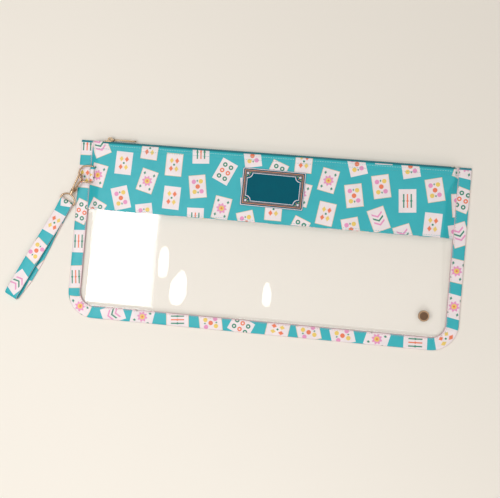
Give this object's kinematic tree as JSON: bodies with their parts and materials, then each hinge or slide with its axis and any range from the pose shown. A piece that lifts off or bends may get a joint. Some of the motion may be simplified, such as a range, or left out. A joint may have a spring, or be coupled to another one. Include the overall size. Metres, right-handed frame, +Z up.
{
  "type": "mahjong tile pouch",
  "caption": "Flat zip pouch for game tiles: clear windows under printed bands, bound edges, label patch, stud, and a wrist strap on a swivel clasp and D-ring.",
  "frame": {"origin": "centre of the pouch on the underside that lies on the table", "axes": "+X along the zip towards its right end, +Y towards the zip, +Z up off the table"},
  "size_m": [0.5844, 0.2355, 0.014],
  "materials": {
    "printed_fabric": "printed coated fabric, pale tile cards on teal",
    "clear_vinyl": "clear glossy vinyl",
    "zip_tape": "woven teal tape",
    "zip_teeth": "moulded teal plastic",
    "gold_hardware": "polished pale gold plate",
    "spring_steel": "drawn wire",
    "patch_leather": "smooth dark teal leather with metallic lines"
  },
  "bodies": {
    "pouch": {"front_window": "clear_vinyl", "back_window": "clear_vinyl", "front_band": "printed_fabric", "back_band": "printed_fabric", "edge_binding": "printed_fabric", "zip_tape_front": "zip_tape", "zip_tape_back": "zip_tape", "zip_teeth_front": "zip_teeth", "zip_teeth_back": "zip_teeth", "zip_top_stops": "gold_hardware", "zip_bottom_stop": "gold_hardware", "label_patch": "patch_leather", "stud_cap": "gold_hardware", "stud_washer": "gold_hardware", "ring_tab": "printed_fabric"},
    "slider": {"zip_slider": "gold_hardware"},
    "pull": {"zip_pull": "gold_hardware"},
    "ring": {"d_ring": "gold_hardware"},
    "hook": {"clasp_hook": "gold_hardware", "gate_pin": "gold_hardware", "gate_spring": "spring_steel"},
    "gate": {"clasp_gate": "gold_hardware"},
    "eye": {"swivel_eye": "gold_hardware"},
    "strap": {"wrist_strap": "printed_fabric"}
  },
  "joints": [
    {"name": "zip_travel", "type": "slide", "parent": "pouch", "child": "slider", "axis": [1, 0, 0], "range_m": [0, 0.43], "deforming": ["zip_teeth_front", "zip_teeth_back"]},
    {"name": "pull_swing", "type": "hinge", "parent": "slider", "child": "pull", "pos_m": [-0.2111, 0.1174, 0.0055], "axis": [0, 0, 1], "range_deg": [0, 170]},
    {"name": "ring_swing", "type": "hinge", "parent": "pouch", "child": "ring", "pos_m": [-0.2304, 0.0707, 0.0084], "axis": [0, 1, 0], "range_deg": [0, 80]},
    {"name": "hook_swing", "type": "hinge", "parent": "ring", "child": "hook", "pos_m": [-0.24542, 0.06438, 0.00998], "axis": [-0.5934, 0.8025, 0.0624], "range_deg": [0, 45]},
    {"name": "gate_open", "type": "hinge", "parent": "hook", "child": "gate", "pos_m": [-0.25087, 0.05012, 0.00968], "axis": [-0.6608, 0.2315, 0.714], "range_deg": [0, 25], "stiffness_Nm_per_rad": 0.003, "springref_deg": -17.19},
    {"name": "clasp_swivel", "type": "hinge", "parent": "hook", "child": "eye", "pos_m": [-0.25508, 0.04699, 0.0068], "axis": [0.4429, 0.8883, 0.1219], "continuous": true},
    {"name": "strap_swing", "type": "hinge", "parent": "eye", "child": "strap", "pos_m": [-0.26199, 0.03313, 0.0049], "axis": [-0.8949, 0.4462, 0], "range_deg": [0, 40]}
  ]
}
